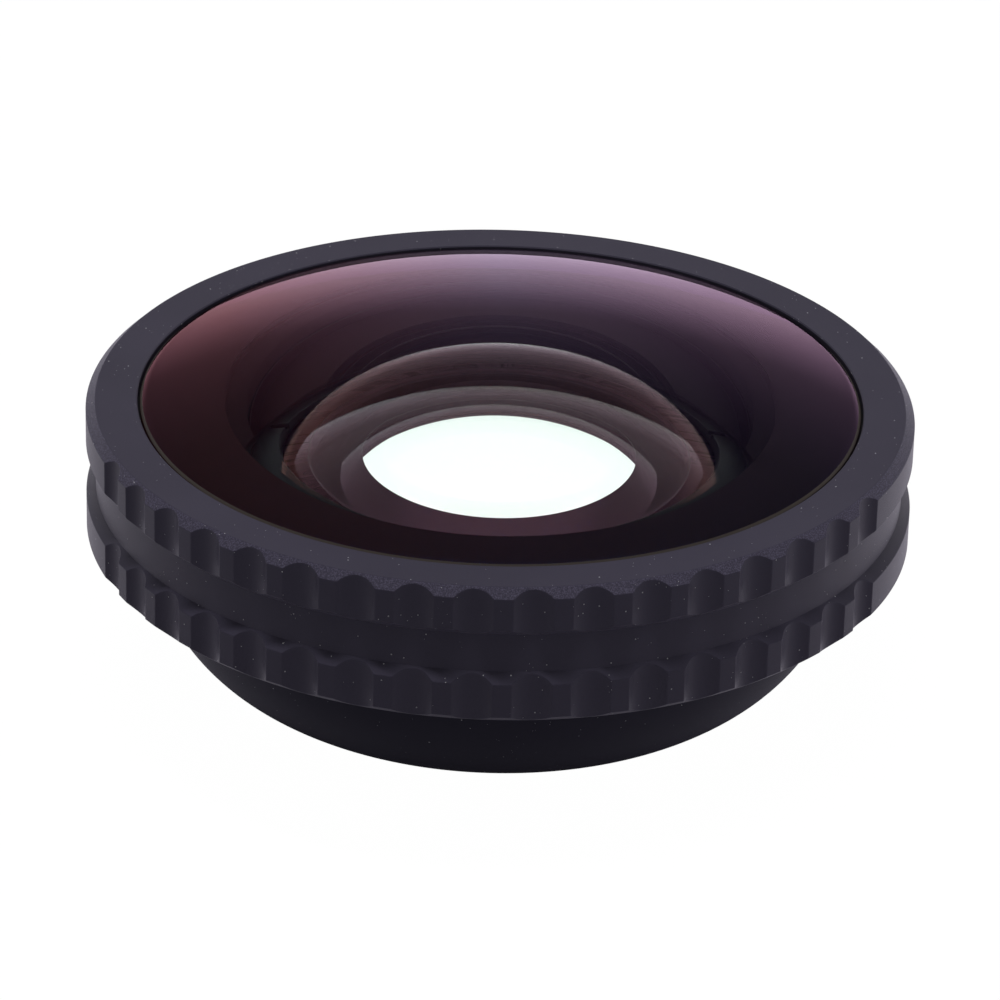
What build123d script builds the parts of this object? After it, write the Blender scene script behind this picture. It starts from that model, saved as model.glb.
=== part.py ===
from build123d import *

import os
from math import cos, degrees, sqrt

os.makedirs("parts", exist_ok=True)

# A screw-on fisheye conversion lens. Millimetres, +Z out of the front glass, standing on the
# end of its rear thread: the origin is the centre of that end face.
#
# The radial sizes stack up from the optics outwards, and the heights stack up from the rear
# thread forwards, so each size below can be changed by itself.

# Running and slip clearances
slip_gap = 0.05
joint_gap = 0.05
cement_gap = 0.02
overrun = 1.0

# Rear mount: male filter thread, drawn at its major diameter
mount_thread_radius = 21.5
mount_thread_length = 3.5
mount_wall = 1.2
mount_flange_thickness = 1.4
mount_thread_lead = 0.4
rear_land = 2.05

# Screws that hold the mount ring, and the land that they stand on
screw_count = 3
screw_start_angle = 90
screw_margin = 2.2
screw_radius = 0.85
screw_head_radius = 1.5
screw_length = 5.0
screw_head_sink = 0.1
screw_recess_width = 0.35
screw_recess_depth = 0.55
screw_recess_length = 1.9
tapped_hole_gap = 0.02
screw_tip_room = 0.4

# Rear cemented doublet
doublet_radius = 19.7
crown_front_radius = 60.0
crown_edge_thickness = 1.5
cement_radius = 50.0
flint_centre_thickness = 4.0
flint_rear_radius = 60.0

# Cell of the doublet and its threaded ring
cell_wall = 1.75
cell_lip_width = 1.5
cell_lip_thickness = 0.7
rear_ring_step = 0.7
rear_ring_ledge = 1.2
rear_ring_height = 1.3
rear_ring_recess = 0.1
spanner_slot_width = 1.2
spanner_slot_depth = 0.6
focus_shim_thickness = 0.3
focus_shim_width = 1.6

# Web of the housing and the flare stop on it
web_thickness = 2.8
web_relief = 0.9
flare_stop_radius = 16.3
flare_stop_thickness = 0.5

# Second element: a meniscus with its hollow side to the rear
second_front_radius = 80.0
second_rear_radius = 48.0
second_rear_reach = 21.5
second_land = 4.5
second_edge_thickness = 3.9
second_ring_step = 1.0
second_ring_ledge = 1.4
second_ring_height = 1.6

# Front element: a large meniscus, deep and hollow behind, with a stepped edge
front_rear_radius = 42.0
front_rear_reach = 27.2
front_centre_thickness = 5.2
front_front_radius = 110.0
front_tail_land = 0.6
front_edge_height = 5.7
front_bevel = 0.4
front_recess = 0.03
front_air_gap = 0.74

# Seat of the front element in the barrel
gasket_thickness = 0.4
gasket_margin = 0.25
seat_width = 2.29
bond_gap = 0.28
bond_clearance = 0.02
bond_margin = 0.6

# Screw joint between the front barrel and the rear housing
mouth_gap = 4.5
neck_wall = 4.2
joint_step = 1.0
neck_end_gap = 0.4
neck_lead = 0.4
shoulder_step = 0.6
shoulder_thickness = 2.2
seal_section = 1.1
seal_offset = 1.2

# Grip of the front barrel: two bands and the smooth groove between them
rim_width = 5.48
grip_height = 15.13
face_chamfer_width = 1.0
face_chamfer_height = 0.95
upper_band_height = 3.55
upper_chamfer_height = 0.9
groove_depth = 1.0
groove_height = 4.2
lower_chamfer_height = 1.05
edge_chamfer_width = 0.9
edge_chamfer_height = 0.75

# Scallops of both bands: opposite groups with plain lands between them
scallop_groups = 2
scallops_in_group = 17
scallop_depth = 0.82
scallop_width = 4.1
crest_width = 1.95
first_group_angle = -94.2

# Outline of the bowl-shaped housing
bowl_land = 0.37


def sag(radius, reach):
    """Depth of a spherical surface at a distance from its axis."""
    return radius - sqrt(radius**2 - reach**2)


def surface(apex_z, radius, reach):
    """Three points of a meridian: on the axis, half way out and at the rim.

    A positive radius bulges to the front, a negative one to the rear.
    """
    side = 1 if radius > 0 else -1
    return [
        (0, apex_z),
        (reach / 2, apex_z - side * sag(abs(radius), reach / 2)),
        (reach, apex_z - side * sag(abs(radius), reach)),
    ]


# Radii, from the optics outwards
doublet_bore = doublet_radius + slip_gap
cell_lip_bore = doublet_radius - cell_lip_width
rear_ring_radius = doublet_radius + rear_ring_step
rear_ring_bore = doublet_radius - rear_ring_ledge
cell_thread_bore = rear_ring_radius + slip_gap
cell_radius = cell_thread_bore + cell_wall
cell_seat_bore = cell_radius + slip_gap
web_bore = cell_lip_bore + web_relief

mount_bore = mount_thread_radius - mount_wall
screw_circle = max(cell_seat_bore, mount_thread_radius) + screw_margin
mount_flange_radius = screw_circle + screw_margin
flange_recess_radius = mount_flange_radius + slip_gap
rear_flat_radius = flange_recess_radius + rear_land

second_radius = second_rear_reach + second_land
second_bore = second_radius + slip_gap
second_ring_radius = second_radius + second_ring_step
second_ring_bore = second_radius - second_ring_ledge
second_thread_bore = second_ring_radius + slip_gap

front_tail_radius = front_rear_reach + front_tail_land
mouth_radius = max(front_tail_radius, second_thread_bore) + mouth_gap
neck_radius = mouth_radius + neck_wall
bowl_radius = neck_radius + joint_step
joint_bore = neck_radius + joint_gap
shoulder_bore = joint_bore - shoulder_step
front_radius = shoulder_bore + seat_width
front_bore = front_radius + bond_gap
grip_radius = front_bore + rim_width
groove_radius = grip_radius - groove_depth
face_radius = grip_radius - face_chamfer_width
edge_radius = grip_radius - edge_chamfer_width

# Heights, from the end of the rear thread forwards
rear_face_z = mount_thread_length
cell_bottom_z = rear_face_z + mount_flange_thickness
rear_ring_bottom_z = cell_bottom_z + rear_ring_recess
rear_ring_top_z = rear_ring_bottom_z + rear_ring_height

flint_rear_z = rear_ring_top_z + cement_gap - sag(flint_rear_radius, rear_ring_bore)
flint_rim_z = flint_rear_z + sag(flint_rear_radius, doublet_radius)
cement_z = flint_rear_z + flint_centre_thickness
flint_edge_z = cement_z + sag(cement_radius, doublet_radius)
crown_edge_z = flint_edge_z + crown_edge_thickness
crown_front_z = crown_edge_z + sag(crown_front_radius, doublet_radius)
cell_lip_z = crown_front_z - sag(crown_front_radius, cell_lip_bore) + cement_gap
cell_top_z = cell_lip_z + cell_lip_thickness

web_bottom_z = cell_top_z + focus_shim_thickness
web_top_z = web_bottom_z + web_thickness
second_seat_z = web_top_z + flare_stop_thickness
second_edge_z = second_seat_z + second_edge_thickness
second_front_z = second_edge_z + sag(second_front_radius, second_radius)
second_rear_z = second_seat_z + sag(second_rear_radius, second_rear_reach)
second_ring_bottom_z = second_front_z - sag(second_front_radius, second_ring_bore) + cement_gap
mouth_floor_z = second_ring_bottom_z + second_ring_height

front_tail_z = mouth_floor_z + front_air_gap
front_rear_z = front_tail_z + sag(front_rear_radius, front_rear_reach)
front_front_z = front_rear_z + front_centre_thickness
front_bevel_radius = front_radius - front_bevel
front_edge_z = front_front_z - sag(front_front_radius, front_bevel_radius)
front_seat_z = front_edge_z - front_edge_height
front_face_z = front_edge_z + front_recess

shoulder_top_z = front_seat_z - gasket_thickness
shoulder_bottom_z = shoulder_top_z - shoulder_thickness
neck_top_z = shoulder_bottom_z - neck_end_gap
grip_bottom_z = front_face_z - grip_height
upper_band_top_z = front_face_z - face_chamfer_height
upper_band_bottom_z = upper_band_top_z - upper_band_height
groove_top_z = upper_band_bottom_z - upper_chamfer_height
groove_bottom_z = groove_top_z - groove_height
lower_band_top_z = groove_bottom_z - lower_chamfer_height
lower_band_bottom_z = grip_bottom_z + edge_chamfer_height
bowl_rim_z = grip_bottom_z - bowl_land

seal_bottom_z = grip_bottom_z + seal_offset
seal_top_z = seal_bottom_z + seal_section + 2 * slip_gap
seal_centre_radius = joint_bore + seal_section / 2
seal_groove_radius = joint_bore + seal_section + slip_gap


# Front barrel. The scallops are cut by upright round cutters, shallower than the groove and the
# chamfers, so that one cut makes both bands and leaves the groove and the end faces smooth.
crest_rise = grip_radius * (1 - cos(scallop_width / (2 * grip_radius)))
cutter_rise = scallop_depth - crest_rise
cutter_radius = scallop_width**2 / (8 * cutter_rise) + cutter_rise / 2
cutter_circle = grip_radius - scallop_depth + cutter_radius
scallop_pitch = degrees((scallop_width + crest_width) / grip_radius)
group_span = scallop_pitch * (scallops_in_group - 1)

with BuildPart() as front_barrel:
    with BuildSketch(Plane.XZ):
        with BuildLine():
            Polyline(
                (front_bore, front_face_z),
                (face_radius, front_face_z),
                (grip_radius, upper_band_top_z),
                (grip_radius, upper_band_bottom_z),
                (groove_radius, groove_top_z),
                (groove_radius, groove_bottom_z),
                (grip_radius, lower_band_top_z),
                (grip_radius, lower_band_bottom_z),
                (edge_radius, grip_bottom_z),
                (joint_bore, grip_bottom_z),
                (joint_bore, seal_bottom_z),
                (seal_groove_radius, seal_bottom_z),
                (seal_groove_radius, seal_top_z),
                (joint_bore, seal_top_z),
                (joint_bore, shoulder_bottom_z),
                (shoulder_bore, shoulder_bottom_z),
                (shoulder_bore, shoulder_top_z),
                (front_bore, shoulder_top_z),
                close=True,
            )
        make_face()
    revolve(axis=Axis.Z)
    with BuildSketch(Plane.XY.offset(grip_bottom_z)):
        for group in range(scallop_groups):
            start = first_group_angle + 360 * group / scallop_groups - group_span / 2
            with PolarLocations(cutter_circle, scallops_in_group, start, group_span, endpoint=True):
                Circle(cutter_radius)
    extrude(amount=grip_height, mode=Mode.SUBTRACT)
front_barrel.part.label = "front_barrel"
export_step(front_barrel.part, "parts/front_barrel.step")

# Front element: shallow dome in front, deep hollow behind, a narrower tail below its seat.
with BuildPart() as front_element:
    with BuildSketch(Plane.XZ):
        with BuildLine():
            ThreePointArc(*surface(front_front_z, front_front_radius, front_bevel_radius))
            Polyline(
                (front_bevel_radius, front_edge_z),
                (front_radius, front_edge_z - front_bevel),
                (front_radius, front_seat_z),
                (front_tail_radius, front_seat_z),
                (front_tail_radius, front_tail_z),
                (front_rear_reach, front_tail_z),
            )
            ThreePointArc(*surface(front_rear_z, front_rear_radius, front_rear_reach))
            Line((0, front_rear_z), (0, front_front_z))
        make_face()
    revolve(axis=Axis.Z)
front_element.part.label = "front_element"
export_step(front_element.part, "parts/front_element.step")

# Bead of black elastomer that bonds the edge of the front element into the barrel.
with BuildPart() as edge_bond:
    with BuildSketch(Plane.XY.offset(front_seat_z)):
        Circle(front_bore - bond_clearance)
        Circle(front_radius + bond_clearance, mode=Mode.SUBTRACT)
    extrude(amount=front_edge_height - front_bevel - bond_margin)
edge_bond.part.label = "edge_bond"
export_step(edge_bond.part, "parts/edge_bond.step")

# Thin rubber ring between the glass and the shoulder of the barrel.
with BuildPart() as seat_gasket:
    with BuildSketch(Plane.XY.offset(shoulder_top_z)):
        Circle(front_radius - gasket_margin)
        Circle(shoulder_bore + gasket_margin, mode=Mode.SUBTRACT)
    extrude(amount=gasket_thickness)
seat_gasket.part.label = "seat_gasket"
export_step(seat_gasket.part, "parts/seat_gasket.step")

# Rubber ring in the groove of the barrel's bore: it rubs on the neck, lifts with the barrel
# and gives the screw joint its drag.
with BuildPart() as joint_seal:
    with BuildSketch(Plane.XZ):
        with Locations((seal_centre_radius, (seal_bottom_z + seal_top_z) / 2)):
            Circle(seal_section / 2)
    revolve(axis=Axis.Z)
joint_seal.part.label = "joint_seal"
export_step(joint_seal.part, "parts/joint_seal.step")

# Rear housing: the bowl outside, the neck of the screw joint, the well of the second element
# and, from behind, the bore of the rear cell and the recess of the mount flange.
bowl_width = bowl_radius - rear_flat_radius
bowl_depth = bowl_rim_z - rear_face_z
bowl_curve = (bowl_width**2 + bowl_depth**2) / (2 * bowl_width)
bowl_middle_z = (bowl_rim_z + rear_face_z) / 2
bowl_middle_radius = bowl_radius - sag(bowl_curve, bowl_rim_z - bowl_middle_z)

with BuildPart() as rear_housing:
    with BuildSketch(Plane.XZ):
        with BuildLine():
            ThreePointArc(
                (rear_flat_radius, rear_face_z),
                (bowl_middle_radius, bowl_middle_z),
                (bowl_radius, bowl_rim_z),
            )
            Polyline(
                (bowl_radius, bowl_rim_z),
                (bowl_radius, grip_bottom_z),
                (neck_radius, grip_bottom_z),
                (neck_radius, neck_top_z - neck_lead),
                (neck_radius - neck_lead, neck_top_z),
                (mouth_radius, neck_top_z),
                (mouth_radius, mouth_floor_z),
                (second_thread_bore, mouth_floor_z),
                (second_thread_bore, second_ring_bottom_z),
                (second_bore, second_ring_bottom_z),
                (second_bore, web_top_z),
                (web_bore, web_top_z),
                (web_bore, web_bottom_z),
                (cell_seat_bore, web_bottom_z),
                (cell_seat_bore, cell_bottom_z),
                (flange_recess_radius, cell_bottom_z),
                (flange_recess_radius, rear_face_z),
                (rear_flat_radius, rear_face_z),
            )
        make_face()
    revolve(axis=Axis.Z)
    with BuildSketch(Plane.XY.offset(rear_face_z)):
        with PolarLocations(screw_circle, screw_count, screw_start_angle):
            Circle(screw_radius + tapped_hole_gap)
    extrude(amount=screw_length + screw_tip_room, mode=Mode.SUBTRACT)
rear_housing.part.label = "rear_housing"
export_step(rear_housing.part, "parts/rear_housing.step")

# Blackened plate under the second element that cuts stray light.
with BuildPart() as flare_stop:
    with BuildSketch(Plane.XY.offset(web_top_z)):
        Circle(second_radius)
        Circle(flare_stop_radius, mode=Mode.SUBTRACT)
    extrude(amount=flare_stop_thickness)
flare_stop.part.label = "flare_stop"
export_step(flare_stop.part, "parts/flare_stop.step")

with BuildPart() as second_element:
    with BuildSketch(Plane.XZ):
        with BuildLine():
            ThreePointArc(*surface(second_front_z, second_front_radius, second_radius))
            Polyline(
                (second_radius, second_edge_z),
                (second_radius, second_seat_z),
                (second_rear_reach, second_seat_z),
            )
            ThreePointArc(*surface(second_rear_z, second_rear_radius, second_rear_reach))
            Line((0, second_rear_z), (0, second_front_z))
        make_face()
    revolve(axis=Axis.Z)
second_element.part.label = "second_element"
export_step(second_element.part, "parts/second_element.step")

# Threaded ring over the second element, with two spanner slots in front.
with BuildPart() as second_retaining_ring:
    with BuildSketch(Plane.XY.offset(second_ring_bottom_z)):
        Circle(second_ring_radius)
        Circle(second_ring_bore, mode=Mode.SUBTRACT)
    extrude(amount=second_ring_height)
    with BuildSketch(Plane.XY.offset(mouth_floor_z)):
        Rectangle(2 * (second_ring_radius + overrun), spanner_slot_width)
    extrude(amount=-spanner_slot_depth, mode=Mode.SUBTRACT)
second_retaining_ring.part.label = "second_retaining_ring"
export_step(second_retaining_ring.part, "parts/second_retaining_ring.step")

# Thin brass ring that sets the height of the rear cell.
with BuildPart() as focus_shim:
    with BuildSketch(Plane.XY.offset(cell_top_z)):
        Circle(cell_radius)
        Circle(cell_radius - focus_shim_width, mode=Mode.SUBTRACT)
    extrude(amount=focus_shim_thickness)
focus_shim.part.label = "focus_shim"
export_step(focus_shim.part, "parts/focus_shim.step")

# Rear cell: a tube with a front lip that the doublet stands against.
with BuildPart() as rear_cell:
    with BuildSketch(Plane.XZ):
        with BuildLine():
            Polyline(
                (cell_thread_bore, cell_bottom_z),
                (cell_radius, cell_bottom_z),
                (cell_radius, cell_top_z),
                (cell_lip_bore + cell_lip_thickness, cell_top_z),
                (cell_lip_bore, cell_lip_z),
                (doublet_bore, cell_lip_z),
                (doublet_bore, rear_ring_top_z),
                (cell_thread_bore, rear_ring_top_z),
                close=True,
            )
        make_face()
    revolve(axis=Axis.Z)
rear_cell.part.label = "rear_cell"
export_step(rear_cell.part, "parts/rear_cell.step")

# Doublet: the biconvex crown in front, the meniscus flint cemented behind it.
with BuildPart() as crown_element:
    with BuildSketch(Plane.XZ):
        with BuildLine():
            ThreePointArc(*surface(crown_front_z, crown_front_radius, doublet_radius))
            Line((doublet_radius, crown_edge_z), (doublet_radius, flint_edge_z + cement_gap))
            ThreePointArc(*surface(cement_z + cement_gap, -cement_radius, doublet_radius))
            Line((0, cement_z + cement_gap), (0, crown_front_z))
        make_face()
    revolve(axis=Axis.Z)
crown_element.part.label = "crown_element"
export_step(crown_element.part, "parts/crown_element.step")

with BuildPart() as flint_element:
    with BuildSketch(Plane.XZ):
        with BuildLine():
            ThreePointArc(*surface(cement_z, -cement_radius, doublet_radius))
            Line((doublet_radius, flint_edge_z), (doublet_radius, flint_rim_z))
            ThreePointArc(*surface(flint_rear_z, -flint_rear_radius, doublet_radius))
            Line((0, flint_rear_z), (0, cement_z))
        make_face()
    revolve(axis=Axis.Z)
flint_element.part.label = "flint_element"
export_step(flint_element.part, "parts/flint_element.step")

# Threaded ring behind the doublet, with two spanner slots in its rear face.
with BuildPart() as rear_retaining_ring:
    with BuildSketch(Plane.XY.offset(rear_ring_bottom_z)):
        Circle(rear_ring_radius)
        Circle(rear_ring_bore, mode=Mode.SUBTRACT)
    extrude(amount=rear_ring_height)
    with BuildSketch(Plane.XY.offset(rear_ring_bottom_z)):
        Rectangle(2 * (rear_ring_radius + overrun), spanner_slot_width)
    extrude(amount=spanner_slot_depth, mode=Mode.SUBTRACT)
rear_retaining_ring.part.label = "rear_retaining_ring"
export_step(rear_retaining_ring.part, "parts/rear_retaining_ring.step")

# Mount ring: the male thread and the flange that is sunk flush into the housing.
screw_slope = screw_head_radius - screw_radius

with BuildPart() as mount_ring:
    with BuildSketch(Plane.XZ):
        with BuildLine():
            Polyline(
                (mount_bore, 0),
                (mount_thread_radius - mount_thread_lead, 0),
                (mount_thread_radius, mount_thread_lead),
                (mount_thread_radius, rear_face_z),
                (mount_flange_radius, rear_face_z),
                (mount_flange_radius, cell_bottom_z),
                (mount_bore, cell_bottom_z),
                close=True,
            )
        make_face()
    revolve(axis=Axis.Z)
    with PolarLocations(screw_circle, screw_count, screw_start_angle):
        with Locations(Location((0, 0, rear_face_z), (180, 0, 0))):
            CounterSinkHole(
                screw_radius + slip_gap,
                screw_head_radius + slip_gap + screw_head_sink,
                depth=mount_flange_thickness,
                counter_sink_angle=90,
            )
mount_ring.part.label = "mount_ring"
export_step(mount_ring.part, "parts/mount_ring.step")

# Countersunk screws of the mount ring, driven in from behind.
with BuildPart() as screw:
    with BuildSketch(Plane.XZ):
        with BuildLine():
            Polyline(
                (0, rear_face_z + screw_head_sink),
                (screw_head_radius, rear_face_z + screw_head_sink),
                (screw_radius, rear_face_z + screw_head_sink + screw_slope),
                (screw_radius, rear_face_z + screw_length),
                (0, rear_face_z + screw_length),
                close=True,
            )
        make_face()
    revolve(axis=Axis.Z)
    with BuildSketch(Plane.XY.offset(rear_face_z + screw_head_sink)):
        Rectangle(screw_recess_length, screw_recess_width)
        Rectangle(screw_recess_width, screw_recess_length)
    extrude(amount=screw_recess_depth, mode=Mode.SUBTRACT)

with BuildPart() as mount_screws:
    with PolarLocations(screw_circle, screw_count, screw_start_angle):
        add(screw.part)
mount_screws.part.label = "mount_screws"
export_step(mount_screws.part, "parts/mount_screws.step")

print(f"outer radius {grip_radius:.3f}, glass opening {front_bore:.3f}, bowl {bowl_radius:.3f}")
print(f"front face {front_face_z:.3f}, glass apex {front_front_z:.3f}, grip bottom {grip_bottom_z:.3f}")
print(f"bowl curve {bowl_curve:.2f}, rear flat {rear_flat_radius:.2f}, neck top {neck_top_z:.2f}")
print(f"glass tail {front_tail_z:.2f}, mouth floor {mouth_floor_z:.2f}, second apex {second_front_z:.2f}")
print(f"cell top {cell_top_z:.2f}, web {web_bottom_z:.2f} to {web_top_z:.2f}, crown apex {crown_front_z:.2f}")
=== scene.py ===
# %% [markdown]
# # A screw-on fisheye conversion lens
#
# The lens is a short, wide, black metal barrel round a large domed glass. It stands on the thread
# that screws into a camera's filter ring. Nearly every piece was turned on a lathe, so nearly every
# piece here is a ring of vertices that is extruded and scaled along the section of the real one.
#
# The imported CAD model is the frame. It says where each piece is and how far it reaches, and the
# scene dresses it: fine bevels, the milled grip, real threads, glass that bends light, and
# finishes with grain and dust.

from math import atan2, cos, hypot, pi, radians, sin, sqrt

import bpy
from mathutils import Matrix, Vector


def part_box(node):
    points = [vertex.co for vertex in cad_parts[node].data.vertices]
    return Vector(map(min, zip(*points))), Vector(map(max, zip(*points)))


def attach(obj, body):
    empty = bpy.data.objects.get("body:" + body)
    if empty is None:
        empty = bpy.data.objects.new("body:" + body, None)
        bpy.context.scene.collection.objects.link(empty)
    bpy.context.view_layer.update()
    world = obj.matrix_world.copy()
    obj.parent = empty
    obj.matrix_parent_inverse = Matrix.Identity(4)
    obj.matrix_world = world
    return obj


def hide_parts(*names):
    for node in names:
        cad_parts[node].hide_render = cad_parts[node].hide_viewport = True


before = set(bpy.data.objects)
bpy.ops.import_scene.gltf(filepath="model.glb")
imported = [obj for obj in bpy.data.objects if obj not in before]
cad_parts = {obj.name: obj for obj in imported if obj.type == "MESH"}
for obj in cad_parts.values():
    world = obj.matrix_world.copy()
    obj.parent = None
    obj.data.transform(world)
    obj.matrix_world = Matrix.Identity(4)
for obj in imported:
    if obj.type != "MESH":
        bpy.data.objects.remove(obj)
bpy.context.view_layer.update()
mm = 0.001


# %% [markdown]
# ## Heights from the frame
#
# The CAD boxes give the end faces of each piece, so the scene never has to repeat the stack of
# heights. Bores don't show in a box, so they are named next to the piece that has them.

# %% Read the heights
def low(node):
    """Height of the lowest point of a CAD node."""
    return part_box(node)[0].z


def high(node):
    """Height of the highest point of a CAD node."""
    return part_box(node)[1].z


rear_face_z = low("rear_housing")
neck_top_z = high("rear_housing")
grip_bottom_z = low("front_barrel")
face_z = high("front_barrel")
shoulder_top_z = low("seat_gasket")
seat_z = high("seat_gasket")
tail_z = low("front_element")
print(f"front face {face_z / mm:.2f} mm, grip bottom {grip_bottom_z / mm:.2f} mm")

# %% [markdown]
# ## Turning a piece
#
# On the real lens a bar or tube is turned to a section. Here a circle of vertices is the first
# point of that section. It is extruded and scaled from point to point, which is what a Spin or a
# Screw modifier would also give, but with full control over the spacing of the columns. A section
# that ends where it began is welded into a ring, and one that begins and ends near the axis is
# collapsed into a pole at each end, as a lens needs.

# %% Turning helper
column_count = 192
weld_distance = 1e-6
smooth_angle = radians(32)


def turned(name, section, columns=column_count, spacing=None):
    """Turn a section, a list of (radius, height), into a piece that is named and smooth."""
    radius, height = section[0]
    bpy.ops.object.select_all(action="DESELECT")
    bpy.ops.mesh.primitive_circle_add(vertices=columns, radius=radius, location=(0, 0, height))
    piece = bpy.context.object
    piece.name = piece.data.name = name
    bpy.ops.object.transform_apply(location=True, rotation=True, scale=True)
    if spacing:
        for number, vertex in enumerate(piece.data.vertices):
            angle = spacing(number)
            vertex.co = (radius * cos(angle), radius * sin(angle), height)
    bpy.ops.object.mode_set(mode="EDIT")
    bpy.ops.mesh.select_all(action="SELECT")
    for next_radius, next_height in section[1:]:
        scale = next_radius / radius
        bpy.ops.mesh.extrude_edges_move()
        bpy.ops.transform.resize(value=(scale, scale, 1), center_override=(0, 0, 0))
        bpy.ops.transform.translate(value=(0, 0, next_height - height))
        radius, height = next_radius, next_height
    bpy.ops.mesh.select_all(action="SELECT")
    bpy.ops.mesh.remove_doubles(threshold=weld_distance)
    bpy.ops.mesh.select_all(action="DESELECT")
    bpy.ops.mesh.select_non_manifold()
    if any(vertex.select for vertex in selected_mesh(piece)):
        bpy.ops.mesh.edge_collapse()
    bpy.ops.mesh.select_all(action="SELECT")
    bpy.ops.mesh.normals_make_consistent(inside=False)
    bpy.ops.object.mode_set(mode="OBJECT")
    bpy.ops.object.shade_smooth_by_angle(angle=smooth_angle)
    return piece


def selected_mesh(piece):
    """The vertices of the piece in edit mode, with their selection up to date."""
    piece.update_from_editmode()
    return piece.data.vertices


# %% [markdown]
# ## Bevels and cuts
#
# A machined edge always has a small break that catches the light. A Bevel modifier that only takes
# sharp edges gives it to the whole piece at once. Slots and countersunk holes are cut with a
# Boolean modifier, from a cutter that is deleted afterwards. Both are applied, so the mesh is the
# finished one.

# %% Modifier helpers
edge_break = 0.12 * mm
bevel_angle = radians(28)
bevel_segments = 2


def apply_modifier(piece, modifier):
    """Apply one modifier of a piece."""
    bpy.ops.object.select_all(action="DESELECT")
    bpy.context.view_layer.objects.active = piece
    piece.select_set(True)
    bpy.ops.object.modifier_apply(modifier=modifier.name)


def break_edges(piece, width=edge_break):
    """Round every sharp edge of a piece by a small width."""
    bevel = piece.modifiers.new("edge break", "BEVEL")
    bevel.limit_method = "ANGLE"
    bevel.angle_limit = bevel_angle
    bevel.width = width
    bevel.segments = bevel_segments
    apply_modifier(piece, bevel)
    bpy.ops.object.shade_smooth_by_angle(angle=smooth_angle)


def cut(piece, cutter):
    """Cut one piece with another, which is then deleted."""
    boolean = piece.modifiers.new("cut", "BOOLEAN")
    boolean.operation = "DIFFERENCE"
    boolean.solver = "EXACT"
    boolean.object = cutter
    apply_modifier(piece, boolean)
    bpy.data.objects.remove(cutter)
    bpy.ops.object.shade_smooth_by_angle(angle=smooth_angle)


def fit_piece(piece, body, slot, *nodes):
    """Say which body a piece rides on and which solids it stands for. The finish slot is not used.
    """
    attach(piece, body)
    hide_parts(*nodes)
    print(f"{piece.name}: {len(piece.data.polygons)} faces")


# %% [markdown]
# ## Sections of lens surfaces
#
# A lens surface is a part of a sphere. Its section is sampled at even steps from the axis, finely
# enough that refraction through the smooth normals shows no facets.

# %% Lens surface helper
surface_steps = 64
pole_share = 0.012


def sphere_section(apex_z, radius, reach):
    """Points of a spherical surface from near the axis to its rim.

    A positive radius bulges to the front, a negative one to the rear.
    """
    side = 1 if radius > 0 else -1
    curve = abs(radius)
    points = []
    for step in range(surface_steps + 1):
        share = max(step / surface_steps, pole_share)
        across = reach * share
        points.append((across, apex_z - side * (curve - sqrt(curve**2 - across**2))))
    return points


# %% [markdown]
# ## Front barrel
#
# The barrel is the part that the hand turns. Its grip has two scalloped bands and a smooth groove
# between them, and chamfers lead to the flat front face, the groove and the rear edge. The scallops
# are milled with a round cutter, in two opposite groups with plain lands between them. Each is a
# hollow with two crisp upright edges, and it dies out in an arch on the chamfers.
#
# A Boolean with 34 cutters would leave long thin faces that shade badly. So the columns of the
# turned ring are spaced for the scallops first, close together at each edge. Every vertex of the
# bands is then sunk by the scallop's depth at its column, and the vertices at a chamfer's edge also
# slide along the chamfer, which draws the arch.

# %% Front barrel sizes
grip_radius = 44 * mm
face_radius = 43 * mm
groove_radius = 43 * mm
edge_radius = 43.1 * mm
glass_bore = 38.52 * mm
shoulder_bore = 35.95 * mm
joint_bore = 36.55 * mm
seal_groove_radius = 37.7 * mm
face_chamfer = 0.95 * mm
upper_band = 3.55 * mm
upper_chamfer = 0.9 * mm
groove_height = 4.2 * mm
lower_chamfer = 1.05 * mm
edge_chamfer = 0.75 * mm
shoulder_thickness = 2.2 * mm
seal_bottom_z = grip_bottom_z + 1.2 * mm
seal_top_z = seal_bottom_z + 1.2 * mm
scallop_depth = 0.82 * mm
scallop_width = 4.1 * mm
crest_width = 1.95 * mm
scallops_in_group = 17
group_angles = [radians(-94.2), radians(85.8)]

# %% Columns round the barrel
pitch_angle = (scallop_width + crest_width) / grip_radius
group_reach = pitch_angle * (scallops_in_group - 1) / 2
half_scallop = scallop_width / 2 / grip_radius
edge_offsets = [offset * mm / grip_radius for offset in (-0.12, -0.04, 0.04, 0.12)]
inner_shares = [0.1 * step for step in range(9)]
land_columns = 34

half_columns = [half_scallop * share for share in inner_shares]
half_columns += [half_scallop + offset for offset in edge_offsets]
scallop_columns = [-pitch_angle / 2, *(-offset for offset in reversed(half_columns[1:]))]
scallop_columns += half_columns

column_angles = []
for middle in group_angles:
    for scallop in range(scallops_in_group):
        centre = middle - group_reach + scallop * pitch_angle
        column_angles += [centre + offset for offset in scallop_columns]
    land_start = middle + group_reach + pitch_angle / 2
    land = pi - 2 * group_reach - pitch_angle
    column_angles += [land_start + land * step / land_columns for step in range(land_columns)]
print("barrel columns:", len(column_angles))

# %% Heights of the barrel
band_top_z = face_z - face_chamfer
band_bottom_z = band_top_z - upper_band
groove_top_z = band_bottom_z - upper_chamfer
groove_bottom_z = groove_top_z - groove_height
lower_band_z = groove_bottom_z - lower_chamfer
edge_z = grip_bottom_z + edge_chamfer
shoulder_bottom_z = shoulder_top_z - shoulder_thickness
print(f"groove from {groove_bottom_z / mm:.2f} to {groove_top_z / mm:.2f} mm")

# %% Broken corners
break_reaches = (0.035 * mm, 0.09 * mm)


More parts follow.
